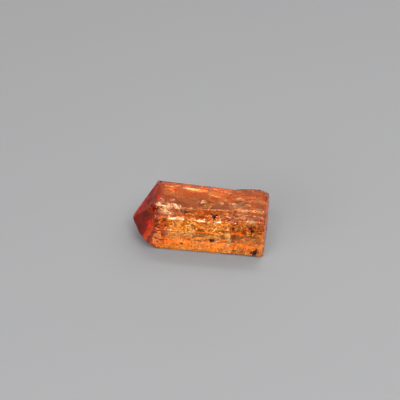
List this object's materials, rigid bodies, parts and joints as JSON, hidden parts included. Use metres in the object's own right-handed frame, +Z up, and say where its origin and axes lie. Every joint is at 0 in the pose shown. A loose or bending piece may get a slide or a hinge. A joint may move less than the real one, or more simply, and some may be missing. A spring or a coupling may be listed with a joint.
{
  "type": "imperial topaz crystal",
  "caption": "Rough striated prism of orange topaz with a slanted point at one end and a flat broken cleavage at the other, lying on a long face.",
  "frame": {"origin": "middle of the crystal's base, the point on the ground under the middle of its bounding box", "axes": "+X along the crystal's length towards its broken end, +Z up through the long face it lies under, -Y towards the viewer of the picture"},
  "size_m": [0.023, 0.0114, 0.009],
  "materials": {
    "topaz": "see-through reddish orange crystal, glassy with fine striations, small pits and specks inside"
  },
  "bodies": {
    "root": {"topaz_crystal": "topaz"}
  },
  "joints": []
}
